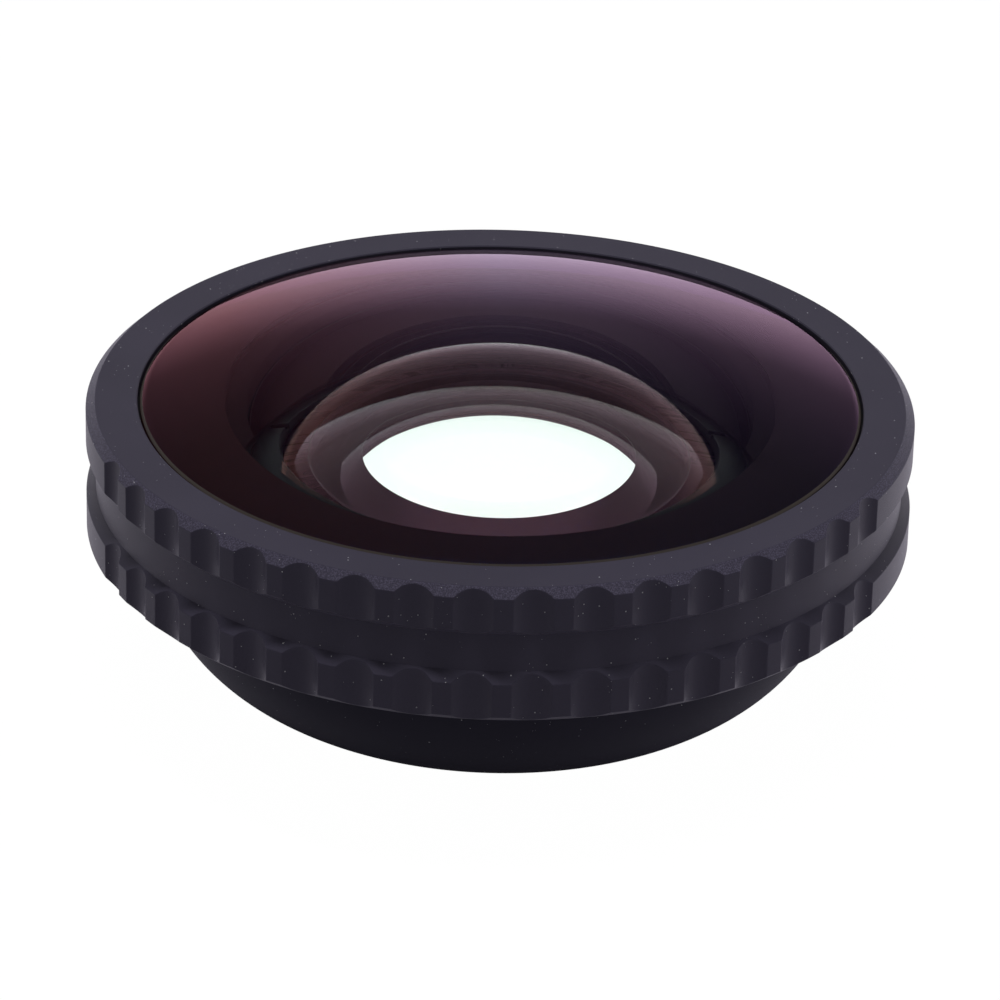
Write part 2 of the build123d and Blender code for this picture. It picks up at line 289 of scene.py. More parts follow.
def broken(before, corner, after):
    """Four points that take the place of a corner: a narrow break and a support on each side."""
    small, wide = break_reaches
    points = []
    for neighbour, reaches in ((before, (wide, small)), (after, (small, wide))):
        length = hypot(neighbour[0] - corner[0], neighbour[1] - corner[1])
        for reach in reaches:
            points.append(tuple(c + (n - c) * reach / length for c, n in zip(corner, neighbour)))
    return points


# %% Turn the barrel
lip_width = 0.12 * mm
face_edge, band_top = (face_radius, face_z), (grip_radius, band_top_z)
band_bottom, groove_top = (grip_radius, band_bottom_z), (groove_radius, groove_top_z)
groove_bottom, lower_top = (groove_radius, groove_bottom_z), (grip_radius, lower_band_z)
lower_bottom, rear_edge = (grip_radius, edge_z), (edge_radius, grip_bottom_z)
barrel_section = [
    (glass_bore + lip_width, face_z),
    *broken((glass_bore, face_z), face_edge, band_top),
    *broken(face_edge, band_top, band_bottom),
    *broken(band_top, band_bottom, groove_top),
    groove_top,
    groove_bottom,
    *broken(groove_bottom, lower_top, lower_bottom),
    *broken(lower_top, lower_bottom, rear_edge)[:3],
    rear_edge,
    (joint_bore, grip_bottom_z),
    (joint_bore, seal_bottom_z),
    (seal_groove_radius, seal_bottom_z),
    (seal_groove_radius, seal_top_z),
    (joint_bore, seal_top_z),
    (joint_bore, shoulder_bottom_z),
    (shoulder_bore, shoulder_bottom_z),
    (shoulder_bore, shoulder_top_z),
    (glass_bore, shoulder_top_z),
    (glass_bore, face_z - lip_width),
    (glass_bore + lip_width, face_z),
]
barrel = turned("grip_barrel", barrel_section, len(column_angles), column_angles.__getitem__)

# %% Sink the scallops
crest_rise = grip_radius * (1 - cos(half_scallop))
cutter_rise = scallop_depth - crest_rise
cutter_radius = scallop_width**2 / (8 * cutter_rise) + cutter_rise / 2
cutter_circle = grip_radius - scallop_depth + cutter_radius
softness = 0.012 * mm
grip_smooth_angle = radians(30)


def scallop_sink(angle):
    """Depth of the scallops below the crests, at an angle round the barrel."""
    for middle in group_angles:
        turn = (angle - middle + group_reach + pi) % (2 * pi) - pi
        scallop = round(turn / pitch_angle)
        if 0 <= scallop < scallops_in_group:
            turn -= scallop * pitch_angle
            reach = cutter_circle * sin(turn)
            if abs(reach) < cutter_radius:
                wall = cutter_circle * cos(turn) - sqrt(cutter_radius**2 - reach**2)
                sink = grip_radius - wall
                return max(0, (sink + sqrt(sink**2 + softness**2) - softness) / 2)
    return 0


slides = [
    (band_top_z, face_chamfer / (grip_radius - face_radius)),
    (band_bottom_z, -upper_chamfer / (grip_radius - groove_radius)),
    (lower_band_z, lower_chamfer / (grip_radius - groove_radius)),
    (edge_z, -edge_chamfer / (grip_radius - edge_radius)),
]
edge_reach = break_reaches[1] + weld_distance
for vertex in barrel.data.vertices:
    x, y, z = vertex.co
    radius = hypot(x, y)
    if radius < grip_radius - edge_reach:
        continue
    sink = scallop_sink(atan2(y, x))
    lift = sum(sink * slope for height, slope in slides if abs(z - height) < edge_reach)
    sunk = (radius - sink) / radius
    vertex.co = (x * sunk, y * sunk, z + lift)
bpy.ops.object.shade_smooth_by_angle(angle=grip_smooth_angle)
fit_piece(barrel, "front_section", "black_anodised", "front_barrel")

# %% [markdown]
# ## Front glass
#
# The front element is a large meniscus: a shallow dome in front and a deep hollow behind. Looking
# in at a slant, the far half of the hollow turns all light back inside the glass, so it shows as a
# dark crescent. The ground edge and the seat are painted dark, as on real lenses, so that no light
# strays in from the side, and that paint is what shows through the near half of the glass.

# %% Front glass
front_apex_z = high("front_element")
glass_radius = 38.24 * mm
glass_bevel = 0.25 * mm
dome_radius = 110 * mm
hollow_radius = 42 * mm
hollow_reach = 27.2 * mm
glass_centre = 5.2 * mm
tail_radius = 27.8 * mm
glass_columns = 320

dome = sphere_section(front_apex_z, dome_radius, glass_radius - glass_bevel)
hollow = sphere_section(front_apex_z - glass_centre, hollow_radius, hollow_reach)
front_section = [
    *hollow,
    (tail_radius, tail_z),
    (tail_radius, seat_z),
    (glass_radius, seat_z),
    (glass_radius, dome[-1][1] - glass_bevel),
    *reversed(dome),
]
front_glass = turned("front_glass", front_section, glass_columns)
fit_piece(front_glass, "front_section", "front_glass", "front_element")

# %% [markdown]
# ## Edge bond
#
# A bead of black elastomer fills the narrow gap between the glass and the barrel. It is a separate
# ring with a hollow top, as a bead takes when it shrinks, so a thin dark line is left round the
# glass.

# %% Edge bond
bond_inner = 38.26 * mm
bond_outer = 38.5 * mm
bond_top_z = high("edge_bond")
bond_sink = 0.06 * mm
bond_middle_sink = 1.3 * bond_sink
bond_middle = (bond_inner + bond_outer) / 2
bond = turned(
    "edge_bead",
    [
        (bond_inner, seat_z),
        (bond_outer, seat_z),
        (bond_outer, bond_top_z),
        (bond_middle + bond_sink, bond_top_z - bond_sink),
        (bond_middle, bond_top_z - bond_middle_sink),
        (bond_middle - bond_sink, bond_top_z - bond_sink),
        (bond_inner, bond_top_z),
        (bond_inner, seat_z),
    ],
)
fit_piece(bond, "front_section", "black_rubber", "edge_bond")

# %% [markdown]
# ## Rear housing
#
# The bowl under the grip carries everything behind the front glass: the neck that the barrel screws
# onto, the well of the second element, the web that the flare stop lies on, and the bore of the
# rear cell. Its outside is one smooth curve from the grip to the flat rear face.

# %% Housing sizes
bowl_radius = 37.5 * mm
neck_radius = 36.5 * mm
mouth_radius = 32.3 * mm
bowl_land = 0.37 * mm
rear_flat_radius = 28.75 * mm
recess_radius = 26.7 * mm
cell_seat_bore = 22.25 * mm
web_bore = 19.1 * mm
second_bore = 26.05 * mm
ring_thread_bore = 27.05 * mm
bowl_steps = 28
housing_columns = 224

second_seat_z = low("second_element")
web_top_z = low("flare_stop")
shim_top_z = high("focus_shim")
cell_bottom_z = low("rear_cell")
ring_bottom_z = low("second_retaining_ring")
mouth_floor_z = high("second_retaining_ring")

# %% Turn the housing
bowl_rim_z = grip_bottom_z - bowl_land
bowl_width = bowl_radius - rear_flat_radius
bowl_depth = bowl_rim_z - rear_face_z
bowl_curve = (bowl_width**2 + bowl_depth**2) / (2 * bowl_width)


def bowl_point(height):
    """Point of the bowl's outside at a height."""
    fall = bowl_rim_z - height
    return (bowl_radius - bowl_curve + sqrt(bowl_curve**2 - fall**2), height)


bowl_arc = [
    bowl_point(rear_face_z + bowl_depth * (1 - cos(pi / 2 * step / bowl_steps)))
    for step in range(bowl_steps + 1)
]
neck_lead = 0.4 * mm
housing_section = [
    *bowl_arc,
    (bowl_radius, grip_bottom_z),
    (neck_radius, grip_bottom_z),
    (neck_radius, neck_top_z - neck_lead),
    (neck_radius - neck_lead, neck_top_z),
    (mouth_radius, neck_top_z),
    (mouth_radius, mouth_floor_z),
    (ring_thread_bore, mouth_floor_z),
    (ring_thread_bore, ring_bottom_z),
    (second_bore, ring_bottom_z),
    (second_bore, web_top_z),
    (web_bore, web_top_z),
    (web_bore, shim_top_z),
    (cell_seat_bore, shim_top_z),
    (cell_seat_bore, cell_bottom_z),
    (recess_radius, cell_bottom_z),
    (recess_radius, rear_face_z),
    bowl_arc[0],
]
housing = turned("bowl_housing", housing_section, housing_columns)
break_edges(housing)
fit_piece(housing, "rear_section", "black_anodised", "rear_housing")

# %% [markdown]
# ## Second element, its ring and the flare stop
#
# Behind the front glass sits a second, smaller meniscus, held down by a threaded ring with two
# spanner slots. A blackened plate under it cuts stray light, and its knife edge is thinned to the
# hole. The ring and the plate are what show as dark ellipses through the front glass.

# %% Second element
second_radius = 26 * mm
second_front_radius = 80 * mm
second_rear_radius = 48 * mm
second_reach = 21.5 * mm
second_apex_z = high("second_element")
second_front = sphere_section(second_apex_z, second_front_radius, second_radius)
second_rear_centre_z = second_seat_z - sqrt(second_rear_radius**2 - second_reach**2)
second_rear_apex_z = second_rear_centre_z + second_rear_radius
second_rear = sphere_section(second_rear_apex_z, second_rear_radius, second_reach)
second_glass = turned(
    "second_glass",
    [*second_rear, (second_radius, second_seat_z), *reversed(second_front)],
    glass_columns,
)
fit_piece(second_glass, "rear_section", "inner_glass", "second_element")

# %% Second retaining ring
second_ring_radius = 27 * mm
second_ring_bore = 24.6 * mm
slot_width = 1.2 * mm
slot_depth = 0.8 * mm
overrun = 1 * mm


def slot_cutter(radius, height, depth):
    """A bar across a ring's face, as long as the ring is wide and more."""
    bpy.ops.object.select_all(action="DESELECT")
    bpy.ops.mesh.primitive_cube_add(size=1, location=(0, 0, height))
    cutter = bpy.context.object
    cutter.scale = (2 * (radius + overrun), slot_width, 2 * depth)
    bpy.ops.object.transform_apply(location=True, rotation=True, scale=True)
    return cutter


second_ring = turned(
    "second_ring",
    [
        (second_ring_bore, ring_bottom_z),
        (second_ring_radius, ring_bottom_z),
        (second_ring_radius, mouth_floor_z),
        (second_ring_bore, mouth_floor_z),
        (second_ring_bore, ring_bottom_z),
    ],
)
cut(second_ring, slot_cutter(second_ring_radius, mouth_floor_z, slot_depth))
break_edges(second_ring)
fit_piece(second_ring, "rear_section", "blackened_metal", "second_retaining_ring")

# %% Flare stop
stop_bore = 16.3 * mm
knife_width = 0.5 * mm
knife_edge = 0.1 * mm
stop_bottom_z, stop_top_z = low("flare_stop"), high("flare_stop")
stop = turned(
    "flare_plate",
    [
        (stop_bore, stop_top_z),
        (stop_bore, stop_top_z - knife_edge),
        (stop_bore + knife_width, stop_bottom_z),
        (second_radius, stop_bottom_z),
        (second_radius, stop_top_z),
        (stop_bore, stop_top_z),
    ],
)
fit_piece(stop, "rear_section", "blackened_metal", "flare_stop")

# %% [markdown]
# ## Rear cell
#
# The rear cell is a tube with a thin lip in front. The doublet, a crown and a flint cemented
# together, stands against the lip, and a threaded ring holds it from behind. The cement has nearly
# the index of the glass, so the cemented face hardly shows, and the pair is one piece of glass
# here: two solids with an air gap between them would turn light back that the real pair lets by.

# %% Doublet
doublet_radius = 19.7 * mm
crown_radius = 60 * mm
flint_radius = 60 * mm
flint_apex_z = low("flint_element")
crown_apex_z = high("crown_element")
doublet = turned(
    "rear_doublet",
    [
        *sphere_section(flint_apex_z, -flint_radius, doublet_radius),
        *reversed(sphere_section(crown_apex_z, crown_radius, doublet_radius)),
    ],
    glass_columns,
)
fit_piece(doublet, "rear_section", "inner_glass", "crown_element", "flint_element")

# %% Cell tube
cell_radius = 22.2 * mm
cell_lip_bore = 18.2 * mm
cell_lip = 0.7 * mm
doublet_bore = 19.75 * mm
cell_thread_bore = 20.45 * mm
cell_top_z = high("rear_cell")
cell_ring_z = high("rear_retaining_ring")
cell = turned(
    "cell_tube",
    [
        (cell_thread_bore, cell_bottom_z),
        (cell_radius, cell_bottom_z),
        (cell_radius, cell_top_z),
        (cell_lip_bore + cell_lip, cell_top_z),
        (cell_lip_bore, cell_top_z - cell_lip),
        (doublet_bore, cell_top_z - cell_lip),
        (doublet_bore, cell_ring_z),
        (cell_thread_bore, cell_ring_z),
        (cell_thread_bore, cell_bottom_z),
    ],
)
fit_piece(cell, "rear_section", "blackened_metal", "rear_cell")

# %% Rear retaining ring
rear_ring_radius = 20.4 * mm
rear_ring_bore = 18.5 * mm
rear_slot_depth = 0.6 * mm
rear_ring_z = low("rear_retaining_ring")
rear_ring = turned(
    "rear_ring",
    [
        (rear_ring_bore, rear_ring_z),
        (rear_ring_radius, rear_ring_z),
        (rear_ring_radius, cell_ring_z),
        (rear_ring_bore, cell_ring_z),
        (rear_ring_bore, rear_ring_z),
    ],
)
cut(rear_ring, slot_cutter(rear_ring_radius, rear_ring_z, rear_slot_depth))
break_edges(rear_ring)
fit_piece(rear_ring, "rear_section", "blackened_metal", "rear_retaining_ring")

# %% [markdown]
# ## Mount ring and its screws
#
# The male thread is what makes this a conversion lens: it screws into the filter thread of a
# camera's lens. The ring is turned with many rows over the thread, and each vertex there is then
# drawn in by a triangle wave that winds once round for every pitch, so the ridges are a true
# right-hand helix. Three countersunk screws hold the ring's flange in the housing.

# %% Mount ring
thread_radius = 21.5 * mm
thread_bore = 20.3 * mm
thread_lead = 0.4 * mm
thread_pitch = 0.75 * mm
thread_depth = 0.42 * mm
flange_radius = 26.65 * mm
thread_rows = 60
thread_columns = 240

thread_wall = [
    (thread_radius, thread_lead + (rear_face_z - thread_lead) * row / thread_rows)
    for row in range(thread_rows + 1)
]
mount = turned(
    "thread_ring",
    [
        (thread_bore, 0),
        (thread_radius - thread_lead, 0),
        *thread_wall,
        (flange_radius, rear_face_z),
        (flange_radius, cell_bottom_z),
        (thread_bore, cell_bottom_z),
        (thread_bore, 0),
    ],
    thread_columns,
)


# %% Wind the thread
def wind_thread(piece, radius, bottom_z, top_z, pitch, depth):
    """Draw the vertices of a cylinder in to a helical ridge between two heights."""
    fade = pitch / 2
    for vertex in piece.data.vertices:
        x, y, z = vertex.co
        if abs(hypot(x, y) - radius) > weld_distance or not bottom_z < z < top_z:
            continue
        turn = (z / pitch - atan2(y, x) / (2 * pi)) % 1
        share = min((z - bottom_z) / fade, (top_z - z) / fade, 1)
        drawn = radius - depth * share * (1 - abs(2 * turn - 1))
        vertex.co = (x * drawn / radius, y * drawn / radius, z)


wind_thread(mount, thread_radius, thread_lead, rear_face_z, thread_pitch, thread_depth)

# %% Countersunk holes
screw_circle = 24.45 * mm
screw_angles = [radians(90 + 120 * number) for number in range(3)]
shank_radius = 0.85 * mm
head_radius = 1.5 * mm
head_sink = 0.1 * mm
hole_gap = 0.05 * mm
hole_depth = 3 * mm
hole_head = head_radius + hole_gap + head_sink
screw_columns = 48


def countersink(angle, depth, radius, head):
    """A cutter for one countersunk hole that opens at the rear face."""
    cutter = turned(
        "countersink",
        [
            (pole_share * radius, rear_face_z - overrun),
            (head, rear_face_z - overrun),
            (head, rear_face_z),
            (radius, rear_face_z + head - radius),
            (radius, rear_face_z + depth),
            (pole_share * radius, rear_face_z + depth),
        ],
        screw_columns,
    )
    cutter.location = (screw_circle * cos(angle), screw_circle * sin(angle), 0)
    bpy.context.view_layer.update()
    return cutter


for angle in screw_angles:
    cut(mount, countersink(angle, hole_depth, shank_radius + hole_gap, hole_head))
fit_piece(mount, "rear_section", "clear_aluminium", "mount_ring")

# %% Screws
screw_length = 5 * mm
recess_reach = 0.95 * mm
recess_width = 0.35 * mm
recess_depth = 0.55 * mm
screw_break = 0.04 * mm
head_z = rear_face_z + head_sink


def cross_cutter(size):
    """One bar of the cross recess."""
    bpy.ops.object.select_all(action="DESELECT")
    bpy.ops.mesh.primitive_cube_add(size=1, location=(0, 0, head_z))
    cutter = bpy.context.object
    cutter.scale = (*size, 2 * recess_depth)
    bpy.ops.object.transform_apply(location=True, rotation=True, scale=True)
    return cutter


pattern = turned(
    "mount_screw",
    [
        (pole_share * shank_radius, head_z),
        (head_radius, head_z),
        (shank_radius, head_z + head_radius - shank_radius),
        (shank_radius, rear_face_z + screw_length),
        (pole_share * shank_radius, rear_face_z + screw_length),
    ],
    screw_columns,
)
for size in ((2 * recess_reach, recess_width), (recess_width, 2 * recess_reach)):
    cut(pattern, cross_cutter(size))
break_edges(pattern, screw_break)

screws = []
for number, angle in enumerate(screw_angles, 1):
    screw = pattern.copy()
    screw.data = pattern.data.copy()
    screw.name = screw.data.name = f"mount_screw_{number}"
    bpy.context.collection.objects.link(screw)
    place = Vector((screw_circle * cos(angle), screw_circle * sin(angle), 0))
    screw.data.transform(Matrix.Translation(place) @ Matrix.Rotation(angle + number, 4, "Z"))
    fit_piece(screw, "rear_section", "screw_steel", "mount_screws")
    screws.append(screw)
bpy.data.objects.remove(pattern)

# %% [markdown]
# ## Shader maths
#
# Finishes are written as plain expressions. A Wire is one output of a node. Adding or multiplying
# wires adds a Math node, and any other node comes from one method of the finish, which takes the
# node's type, its settings and the values or wires of its sockets.


# %% Wires
class Wire:
    """An output socket that can be used in arithmetic."""

    def __init__(self, finish, socket):
        self.finish = finish
        self.socket = socket

    def _math(self, operation, first, second):
        settings = {"operation": operation}
        return self.finish.node("ShaderNodeMath", settings, {0: first, 1: second})

    def __add__(self, other):
        return self._math("ADD", self, other)

    __radd__ = __add__

    def __sub__(self, other):
        return self._math("SUBTRACT", self, other)

    def __rsub__(self, other):
        return self._math("SUBTRACT", other, self)

    def __mul__(self, other):
        return self._math("MULTIPLY", self, other)

    __rmul__ = __mul__

    def __truediv__(self, other):
        return self._math("DIVIDE", self, other)

    def __pow__(self, other):
        return self._math("POWER", self, other)

    def above(self, limit):
        """1 where the wire is above a limit, else 0."""
        return self._math("GREATER_THAN", self, limit)

    def below(self, limit):
        """1 where the wire is below a limit, else 0."""
        return self._math("LESS_THAN", self, limit)

    def clamped(self):
        """The wire kept between 0 and 1."""
        settings = {"operation": "ADD", "use_clamp": True}
        return self.finish.node("ShaderNodeMath", settings, {0: self, 1: 0})


# %% Finishes
class Finish:
    """A material or world, and the methods that add nodes to it."""

    def __init__(self, name, world=False):
        self.data = (bpy.data.worlds if world else bpy.data.materials).new(name)
        self.data.use_nodes = True
        self.nodes = self.data.node_tree.nodes
        self.links = self.data.node_tree.links
        self.nodes.clear()

    def node(self, kind, settings=None, sockets=None, output=0):
        """Add a node: its settings first, then the values or wires of its sockets."""
        made = self.nodes.new(kind)
        for setting, value in (settings or {}).items():
            if setting == "stops":
                for stop, (place, colour) in zip(made.color_ramp.elements, value):
                    stop.position, stop.color = place, (*colour, 1)
                for place, colour in value[2:]:
                    made.color_ramp.elements.new(place).color = (*colour, 1)
            else:
                setattr(made, setting, value)
        for socket, value in (sockets or {}).items():
            if isinstance(value, Wire):
                self.links.new(value.socket, made.inputs[socket])
            else:
                made.inputs[socket].default_value = value
        if not made.outputs:
            return None
        return Wire(self, made.outputs[output])

    def place(self):
        """Where a point lies on the piece, in metres."""
        return self.node("ShaderNodeTexCoord", output="Object")

    def axis(self, place, letter):
        """The X, Y or Z of a place."""
        return self.node("ShaderNodeSeparateXYZ", {}, {0: place}, output=letter)

    def noise(self, place, scale, detail, roughness=0.5):
        """A soft random pattern between 0 and 1."""
        sockets = {"Vector": place, "Scale": scale, "Detail": detail, "Roughness": roughness}
        return self.node("ShaderNodeTexNoise", {}, sockets)

    def bump(self, height, strength, distance):
        """Normals that follow the rises and falls of a pattern."""
        sockets = {"Height": height, "Strength": strength, "Distance": distance}
        return self.node("ShaderNodeBump", {}, sockets)

    def mixed(self, share, first, second):
        """A colour between two colours."""
        return self.node(
            "ShaderNodeMix", {"data_type": "RGBA"}, {0: share, 6: first, 7: second}, output=2
        )

    def blended(self, share, first, second):
        """A shader between two shaders."""
        return self.node("ShaderNodeMixShader", {}, {0: share, 1: first, 2: second})

    def surface(self, shader):
        """Lead a shader to the output, and say how many nodes the finish took."""
        self.node("ShaderNodeOutputMaterial", {}, {"Surface": shader})
        print(f"{self.data.name}: {len(self.nodes)} nodes")

    def put_on(self, *pieces):
        """Make this the only finish of some pieces."""
        for piece in pieces:
            piece.data.materials.clear()
            piece.data.materials.append(self.data)


def tint(red, green, blue):
    """A colour with full alpha."""
    return (red, green, blue, 1)


def shades(colour, darker, lighter):
    """Two tints of a colour, for the low and the high end of a pattern."""
    return [tint(*(channel * share for channel in colour)) for share in (darker, lighter)]


# %% [markdown]
# ## Black anodised aluminium
#
# The barrel is bead-blasted before it is anodised, which leaves a fine even grain and a satin
# sheen with no direction. The dye makes it a slightly violet black. A few specks of dust lie on
# it, each far smaller than a grain of sand, and they are lighter and rougher than the metal. The
# front chamfer is painted lighter, with a painted highlight on the tips of its grain, for the light
# that the chamfer catches.
#
# Grain and dust are random patterns in the piece's own space, so they stay where they are on it
# when it turns. A grain of dust is the middle of a Voronoi cell, and a slow noise decides where
# such grains lie. The chamfer is found by its cone, from the two corners of its section.


# %% Dust
speck_scale, speck_size, chance_scale = 800.0, 0.06, 1400.0
powder_scale, powder_size, drift_scale, drift_limit = 1700.0, 0.07, 260.0, 0.56


def dust_grains(finish, place, scale, size):
    """1 on round grains, one in the middle of each cell, else 0."""
    cells = finish.node("ShaderNodeTexVoronoi", {}, {"Vector": place, "Scale": scale})
    return cells.below(size)


def dust(finish, place, chance_limit):
    """1 on dust, else 0: single specks, and drifts of finer powder."""
    specks = dust_grains(finish, place, speck_scale, speck_size)
    powder = dust_grains(finish, place, powder_scale, powder_size)
    lies = finish.noise(place, chance_scale, 1.0).above(chance_limit)
    drifts = finish.noise(place, drift_scale, 2.0).above(drift_limit)
    return (specks * lies + powder * drifts).clamped()


# %% Painted highlight on the chamfer
chamfer_skin = 0.05 * mm
chamfer_margin = 0.02 * mm
spark_scale, spark_limit, spark_contrast = 7000.0, 0.42, 4


def on_chamfer(finish, place, chamfer):
    """1 on a chamfer, which is given by the two corners of its section, else 0."""
    (inner, top_z), (outer, bottom_z) = chamfer
    across, forth, height = (finish.axis(place, letter) for letter in "XYZ")
    radius = (across * across + forth * forth) ** 0.5
    cone = radius + (height - bottom_z) * ((outer - inner) / (top_z - bottom_z))
    at_skin = cone.above(outer - chamfer_skin)
    return at_skin * height.above(bottom_z + chamfer_margin) * height.below(top_z - chamfer_margin)


def chamfer_painted_highlight(finish, place, colour):
    """The colour of the chamfer: the dye painted lighter, with a painted highlight on the tips of
    some grains.
    """
    spark = finish.noise(place, spark_scale, 1.0)
    bright = ((spark - spark_limit) * spark_contrast).clamped()
    return finish.mixed(bright, *shades(colour, 1.05, 2.0))


# %% Anodised finish
blast_scale, cloud_scale = 9000.0, 60.0
blast_depth = 0.04 * mm
dust_colour = tint(0.5, 0.5, 0.53)


def anodised(name, colour, roughness, chance_limit, gloss, chamfer=None):
    """Bead-blasted, black-dyed aluminium. A higher chance limit leaves it cleaner."""
    finish = Finish(name)
    place = finish.place()
    grain = finish.noise(place, blast_scale, 4.0, 0.7)
    cloud = finish.noise(place, cloud_scale, 3.0)
    body = finish.mixed((grain * 0.5 + cloud * 0.5).clamped(), *shades(colour, 0.7, 1.35))
    # On the chamfer the dye is painted lighter, with painted glints on the grain, for the light it
    # catches.
    if chamfer:
        chamfer_highlight_mask = on_chamfer(finish, place, chamfer)
        body = finish.mixed(chamfer_highlight_mask, body, chamfer_painted_highlight(finish, place, colour))
    dirt = dust(finish, place, chance_limit)
    shader = finish.node(
        "ShaderNodeBsdfPrincipled",
        {},
        {
            "Base Color": finish.mixed(dirt, body, dust_colour),
            "Roughness": grain * 0.16 + (roughness - 0.08) + dirt * 0.3,
            "Normal": finish.bump(grain, 0.35, blast_depth),
            "Specular IOR Level": gloss,
        },
    )
    finish.surface(shader)
    return finish


# %% Put the anodised finish on
barrel_black, housing_black = (0.055, 0.05, 0.074), (0.036, 0.034, 0.05)
front_chamfer = (face_edge, band_top)
barrel_finish = anodised("anodised_barrel", barrel_black, 0.42, 0.46, 0.1, front_chamfer)
housing_finish = anodised("anodised_housing", housing_black, 0.46, 0.6, 0.03)
barrel_finish.put_on(barrel)
housing_finish.put_on(housing)

# %% [markdown]
# ## Optical black, rubber, brass and screw steel
#
# Rings and stop are sprayed with matt optical black: very dark, with a faint orange-peel texture.
# So is the inside of the housing, where stray light would show, while its outside keeps the dye.
# The cell is painted a dark plum, lighter than the optical black, a painted highlight for how its
# lip shows lit round the hole through the coated glass. The rubber seal and gasket are matt, the
# shim is rolled brass, and the screws have a black oxide that shines a little. One function makes
# them all, since they only differ in colour, gloss and grain.


# %% Plain finishes
fade_reach = 30 * mm
plain_depth = 0.03 * mm


def plain(name, colour, roughness, grain_scale, bump_strength, metallic=0.0, right_colour=None):
    """A finish with a fine grain in colour, gloss and height. Its right side may take a second
    colour, painted light that differs between the sides.
    """
    finish = Finish(name)
    place = finish.place()
    grain = finish.noise(place, grain_scale, 3.0)
    body = finish.mixed(grain, *shades(colour, 0.8, 1.2))
    if right_colour:
        right_share = (finish.axis(place, "X") / (2 * fade_reach) + 0.5).clamped()
        right_body = finish.mixed(grain, *shades(right_colour, 0.8, 1.2))
        body = finish.mixed(right_share, body, right_body)
    shader = finish.node(
        "ShaderNodeBsdfPrincipled",
        {},
        {
            "Base Color": body,
            "Metallic": metallic,
            "Roughness": grain * 0.12 + (roughness - 0.06),
            "Normal": finish.bump(grain, bump_strength, plain_depth),
        },
    )
    finish.surface(shader)
    return finish


# %% Put the plain finishes on
optical_black = plain("optical_black", (0.012, 0.011, 0.014), 0.5, 4000.0, 0.3)
# The cell's plum is painted lighter than black, a painted highlight for the lit band round the
# hole.
cell_lit_plum = plain("cell_lit_plum", (0.1, 0.055, 0.075), 0.5, 4000.0, 0.3)
rubber = plain("matt_rubber", (0.016, 0.015, 0.016), 0.75, 2500.0, 0.4)
brass = plain("rolled_brass", (0.6, 0.44, 0.2), 0.3, 1500.0, 0.1, 1.0)
oxide = plain("black_oxide", (0.06, 0.06, 0.065), 0.35, 6000.0, 0.2, 1.0)
clear_aluminium = plain("clear_aluminium", (0.8, 0.8, 0.81), 0.24, 5000.0, 0.1, 1.0)

optical_black.put_on(second_ring, stop, rear_ring)
cell_lit_plum.put_on(cell)
rubber.put_on(bond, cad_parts["seat_gasket"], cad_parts["joint_seal"])
brass.put_on(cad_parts["focus_shim"])
oxide.put_on(*screws)
clear_aluminium.put_on(mount)

# %% Paint the inside of the housing
wall_margin = 1 * mm
housing.data.materials.append(optical_black.data)
inside_faces = 0
for face in housing.data.polygons:
    x, y, z = face.center
    outside = bowl_point(z)[0] if z < bowl_rim_z else neck_radius
    if hypot(x, y) < outside - wall_margin and z > cell_bottom_z:
        face.material_index = 1
        inside_faces += 1
print(f"{housing.name}: {inside_faces} faces painted inside")

# %% [markdown]
# ## Coated glass
#
# Lens glass is clear and smooth, and its anti-reflection coating tints what little it reflects,
# magenta inside. On the front element that tint is painted from reddish at the left through pink
# to violet at the right, a painted warmer light on the left. The edges are ground and painted a
# dark red on the front element and the doublet, and that paint is painted lighter and redder at
# the left than at the right, for the same warmer light. The second element's edge is only ground,
# where the pale edge lights the zone round the hole. The bevel round the front glass is ground
# too. These faces are picked by their place and slope, and take a finish of their own on the same
# mesh.


# %% Coated glass
film_index = 1.38


def coated_glass(name, index, film, *tints):
    """Clear glass with a thin film. Its tints follow one another from the left to the right, a
    painted change in the colour of the light across the sides.
    """
    finish = Finish(name)
    shaders = [
        finish.node(
            "ShaderNodeBsdfPrincipled",
            {},
            {
                "Base Color": tint(1, 1, 1),
                "Roughness": 0.0,
                "IOR": index,
                "Transmission Weight": 1.0,
                "Specular Tint": tint(*colour),
                "Thin Film Thickness": film,
                "Thin Film IOR": film_index,
            },
        )
        for colour in tints
    ]
    across = finish.axis(finish.place(), "X")
    shader = shaders[0]
    for number, following in enumerate(shaders[1:]):
        step = 2 * fade_reach / (len(shaders) - 1)
        share = ((across - (number * step - fade_reach)) / step).clamped()
        shader = finish.blended(share, shader, following)
    finish.surface(shader)
    return finish


# %% Ground faces
upright_slope, flat_slope = 0.02, 0.999
edge_share, seat_share = 0.97, 0.99
seat_margin = 0.01 * mm


def is_ground(face, reach, seat_heights):
    """True for a face of a lens's edge, seat or tail, which isn't polished."""
    x, y, z = face.center
    across = hypot(x, y)
    upright = abs(face.normal.z) < upright_slope and across > reach * edge_share
    at_seat = any(abs(z - seat) < seat_margin for seat in seat_heights)
    flat = abs(face.normal.z) > flat_slope and at_seat
    return upright or flat and across > reach * seat_share


def finish_lens(lens, glass, paint, reach, seat_heights=()):
    """Put glass on the polished faces and paint on the ground ones."""
    glass.put_on(lens)
    lens.data.materials.append(paint.data)
    painted = 0
    for face in lens.data.polygons:
        if is_ground(face, reach, seat_heights):
            face.material_index = 1
            painted += 1
    print(f"{lens.name}: {painted} painted faces")


# %% Finish the lenses
reddish, pinkish, violet = (1.0, 0.42, 0.45), (1.0, 0.74, 1.0), (1.0, 0.62, 0.85)
